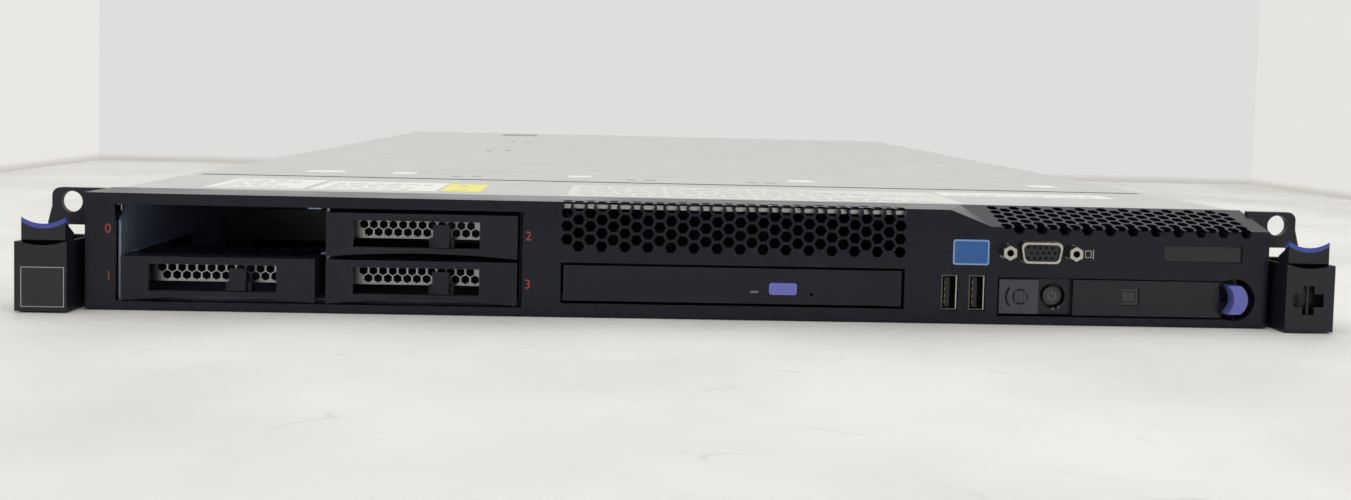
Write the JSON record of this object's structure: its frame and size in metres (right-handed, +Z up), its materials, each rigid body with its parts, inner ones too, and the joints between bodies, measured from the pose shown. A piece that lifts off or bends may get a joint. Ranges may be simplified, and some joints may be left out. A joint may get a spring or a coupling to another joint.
{
  "type": "rack server",
  "caption": "Low rack-mount server: perforated front bezel, drive bays, optical drive, pull-out operator panel, rack ears with press latches, sliding top cover and hot-swap power supplies.",
  "frame": {"origin": "middle of the bounding box on the plane that the chassis rests on", "axes": "+Z up, +Y from the front bezel to the rear panel, +X to the right of a viewer in front"},
  "size_m": [0.4826, 0.741, 0.043],
  "materials": {
    "bezel_black": "fine-grained black moulding",
    "ear_black": "fine-grained black moulding",
    "filler_black": "fine-grained black moulding",
    "drive_black": "smooth black moulding",
    "touch_blue": "smooth blue moulding",
    "button_grey": "smooth dark grey moulding",
    "tray_steel": "zinc-plated sheet",
    "cover_steel": "zinc-plated sheet with light scuffs",
    "screen_steel": "bright perforated sheet",
    "latch_grey": "smooth grey moulding",
    "nickel": "nickel-plated",
    "socket_black": "smooth black moulding",
    "board_green": "coated board",
    "fan_black": "smooth black moulding",
    "sink_aluminium": "plain",
    "supply_metal": "plated case",
    "tab_orange": "smooth orange moulding"
  },
  "bodies": {
    "chassis": {"front_bezel": "bezel_black", "left_rack_ear": "ear_black", "right_rack_ear": "ear_black", "chassis_tray": "tray_steel", "rear_panel": "tray_steel", "fan_wall": "tray_steel", "media_bracket": "tray_steel", "drive_cage": "tray_steel", "slot_covers": "tray_steel", "front_top_panel": "cover_steel", "optical_case": "cover_steel", "video_shell": "nickel", "video_jack_posts": "nickel", "usb_shells": "nickel", "rear_sockets": "nickel", "video_insert": "socket_black", "usb_tongues": "socket_black", "memory_sockets": "socket_black", "system_board": "board_green", "drive_backplane": "board_green", "front_socket_board": "board_green", "riser_cards": "board_green", "memory_modules": "board_green", "fan_housings": "fan_black", "heat_sinks": "sink_aluminium"},
    "left_latch": {"left_latch": "ear_black", "left_latch_pad": "touch_blue"},
    "right_latch": {"right_latch": "ear_black", "right_latch_pad": "touch_blue"},
    "optical_tray": {"optical_tray": "drive_black", "optical_bezel": "drive_black"},
    "top_cover": {"top_cover": "cover_steel"},
    "cover_latch": {"cover_latch": "latch_grey"},
    "eject_button": {"eject_button": "touch_blue"},
    "disc_hub": {"disc_hub": "drive_black"},
    "laser_sled": {"laser_sled": "drive_black"},
    "panel_drawer": {"panel_drawer": "bezel_black"},
    "panel_release": {"panel_release": "touch_blue"},
    "power_cover": {"power_cover": "bezel_black"},
    "power_button": {"power_button": "button_grey"},
    "locator_button": {"locator_button": "button_grey"},
    "filler_1": {"filler_1": "filler_black", "filler_screen_1": "screen_steel"},
    "filler_tab_1": {"filler_tab_1": "filler_black"},
    "filler_2": {"filler_2": "filler_black", "filler_screen_2": "screen_steel"},
    "filler_tab_2": {"filler_tab_2": "filler_black"},
    "filler_3": {"filler_3": "filler_black", "filler_screen_3": "screen_steel"},
    "filler_tab_3": {"filler_tab_3": "filler_black"},
    "fan_rotor_1": {"fan_rotor_1": "fan_black"},
    "fan_rotor_2": {"fan_rotor_2": "fan_black"},
    "fan_rotor_3": {"fan_rotor_3": "fan_black"},
    "fan_rotor_4": {"fan_rotor_4": "fan_black"},
    "fan_rotor_5": {"fan_rotor_5": "fan_black"},
    "fan_rotor_6": {"fan_rotor_6": "fan_black"},
    "power_supply_1": {"power_supply_1": "supply_metal"},
    "supply_tab_1": {"supply_tab_1": "tab_orange"},
    "power_supply_2": {"power_supply_2": "supply_metal"},
    "supply_tab_2": {"supply_tab_2": "tab_orange"}
  },
  "joints": [
    {"name": "left_latch_press", "type": "slide", "parent": "chassis", "child": "left_latch", "axis": [0, 0, -1], "range_m": [0, 0.006], "stiffness_N_per_m": 300, "springref_m": -0.002},
    {"name": "right_latch_press", "type": "slide", "parent": "chassis", "child": "right_latch", "axis": [0, 0, -1], "range_m": [0, 0.006], "stiffness_N_per_m": 300, "springref_m": -0.002},
    {"name": "filler_1_slide", "type": "slide", "parent": "chassis", "child": "filler_1", "axis": [0, -1, 0], "range_m": [0, 0.075]},
    {"name": "filler_tab_1_flex", "type": "hinge", "parent": "filler_1", "child": "filler_tab_1", "pos_m": [-0.1655, -0.3586, 0.0091], "axis": [-1, 0, 0], "range_deg": [0, 12], "stiffness_Nm_per_rad": 0.05},
    {"name": "filler_2_slide", "type": "slide", "parent": "chassis", "child": "filler_2", "axis": [0, -1, 0], "range_m": [0, 0.075]},
    {"name": "filler_tab_2_flex", "type": "hinge", "parent": "filler_2", "child": "filler_tab_2", "pos_m": [-0.0915, -0.3586, 0.0265], "axis": [-1, 0, 0], "range_deg": [0, 12], "stiffness_Nm_per_rad": 0.05},
    {"name": "filler_3_slide", "type": "slide", "parent": "chassis", "child": "filler_3", "axis": [0, -1, 0], "range_m": [0, 0.075]},
    {"name": "filler_tab_3_flex", "type": "hinge", "parent": "filler_3", "child": "filler_tab_3", "pos_m": [-0.0915, -0.3586, 0.0091], "axis": [-1, 0, 0], "range_deg": [0, 12], "stiffness_Nm_per_rad": 0.05},
    {"name": "optical_tray_slide", "type": "slide", "parent": "chassis", "child": "optical_tray", "axis": [0, -1, 0], "range_m": [0, 0.115]},
    {"name": "eject_press", "type": "slide", "parent": "optical_tray", "child": "eject_button", "axis": [0, 1, 0], "range_m": [0, 0.0008], "stiffness_N_per_m": 400},
    {"name": "disc_hub_spin", "type": "hinge", "parent": "optical_tray", "child": "disc_hub", "pos_m": [0.0169, -0.296, 0.0091], "axis": [0, 0, 1], "continuous": true},
    {"name": "laser_sled_slide", "type": "slide", "parent": "optical_tray", "child": "laser_sled", "axis": [0, -1, 0], "range_m": [0, 0.02]},
    {"name": "panel_slide", "type": "slide", "parent": "chassis", "child": "panel_drawer", "axis": [0, -1, 0], "range_m": [0, 0.065]},
    {"name": "panel_release_slide", "type": "slide", "parent": "panel_drawer", "child": "panel_release", "axis": [-1, 0, 0], "range_m": [0, 0.0025], "stiffness_N_per_m": 300},
    {"name": "power_cover_slide", "type": "slide", "parent": "panel_drawer", "child": "power_cover", "axis": [1, 0, 0], "range_m": [0, 0.011]},
    {"name": "power_button_press", "type": "slide", "parent": "panel_drawer", "child": "power_button", "axis": [0, 1, 0], "range_m": [0, 0.0009], "stiffness_N_per_m": 400},
    {"name": "locator_button_press", "type": "slide", "parent": "panel_drawer", "child": "locator_button", "axis": [0, 1, 0], "range_m": [0, 0.0008], "stiffness_N_per_m": 400},
    {"name": "cover_slide", "type": "slide", "parent": "chassis", "child": "top_cover", "axis": [0, 1, 0], "range_m": [0, 0.3]},
    {"name": "cover_latch_swing", "type": "hinge", "parent": "top_cover", "child": "cover_latch", "pos_m": [-0.118, 0.2925, 0.0421], "axis": [1, 0, 0], "range_deg": [0, 80]},
    {"name": "fan_rotor_1_spin", "type": "hinge", "parent": "chassis", "child": "fan_rotor_1", "pos_m": [-0.17833, -0.1875, 0.0215], "axis": [0, -1, 0], "continuous": true},
    {"name": "fan_rotor_2_spin", "type": "hinge", "parent": "chassis", "child": "fan_rotor_2", "pos_m": [-0.107, -0.1875, 0.0215], "axis": [0, -1, 0], "continuous": true},
    {"name": "fan_rotor_3_spin", "type": "hinge", "parent": "chassis", "child": "fan_rotor_3", "pos_m": [-0.03567, -0.1875, 0.0215], "axis": [0, -1, 0], "continuous": true},
    {"name": "fan_rotor_4_spin", "type": "hinge", "parent": "chassis", "child": "fan_rotor_4", "pos_m": [0.03567, -0.1875, 0.0215], "axis": [0, -1, 0], "continuous": true},
    {"name": "fan_rotor_5_spin", "type": "hinge", "parent": "chassis", "child": "fan_rotor_5", "pos_m": [0.107, -0.1875, 0.0215], "axis": [0, -1, 0], "continuous": true},
    {"name": "fan_rotor_6_spin", "type": "hinge", "parent": "chassis", "child": "fan_rotor_6", "pos_m": [0.17833, -0.1875, 0.0215], "axis": [0, -1, 0], "continuous": true},
    {"name": "supply_1_slide", "type": "slide", "parent": "chassis", "child": "power_supply_1", "axis": [0, 1, 0], "range_m": [0, 0.2]},
    {"name": "supply_tab_1_press", "type": "slide", "parent": "power_supply_1", "child": "supply_tab_1", "axis": [-1, 0, 0], "range_m": [0, 0.003], "stiffness_N_per_m": 500},
    {"name": "supply_2_slide", "type": "slide", "parent": "chassis", "child": "power_supply_2", "axis": [0, 1, 0], "range_m": [0, 0.2]},
    {"name": "supply_tab_2_press", "type": "slide", "parent": "power_supply_2", "child": "supply_tab_2", "axis": [-1, 0, 0], "range_m": [0, 0.003], "stiffness_N_per_m": 500}
  ]
}
